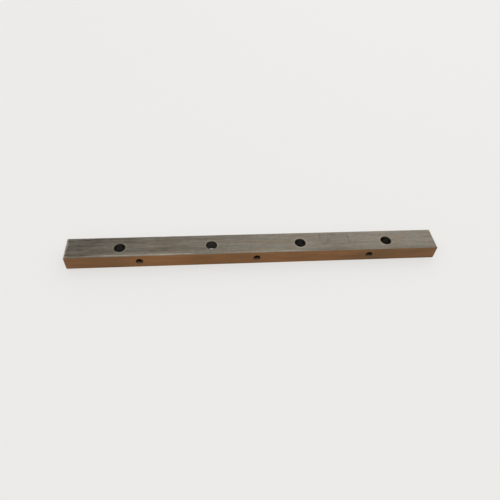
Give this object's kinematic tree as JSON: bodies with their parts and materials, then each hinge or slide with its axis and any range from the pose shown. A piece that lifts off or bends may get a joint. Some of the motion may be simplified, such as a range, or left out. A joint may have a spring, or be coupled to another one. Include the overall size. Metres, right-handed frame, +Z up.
{
  "type": "cutting blade",
  "caption": "Straight ground steel bar blade with square cutting edges, a row of bolt holes down through it and blind tapped holes in its front face.",
  "frame": {"origin": "middle of the underside", "axes": "+X along the bar, +Y from the polished front face to the back face, +Z up, out of the top face"},
  "size_m": [0.381, 0.026, 0.016],
  "materials": {
    "ground_steel": "bare ground tool steel, lengthwise grinding grain, polished front face"
  },
  "bodies": {
    "root": {"blade": "ground_steel"}
  },
  "joints": []
}
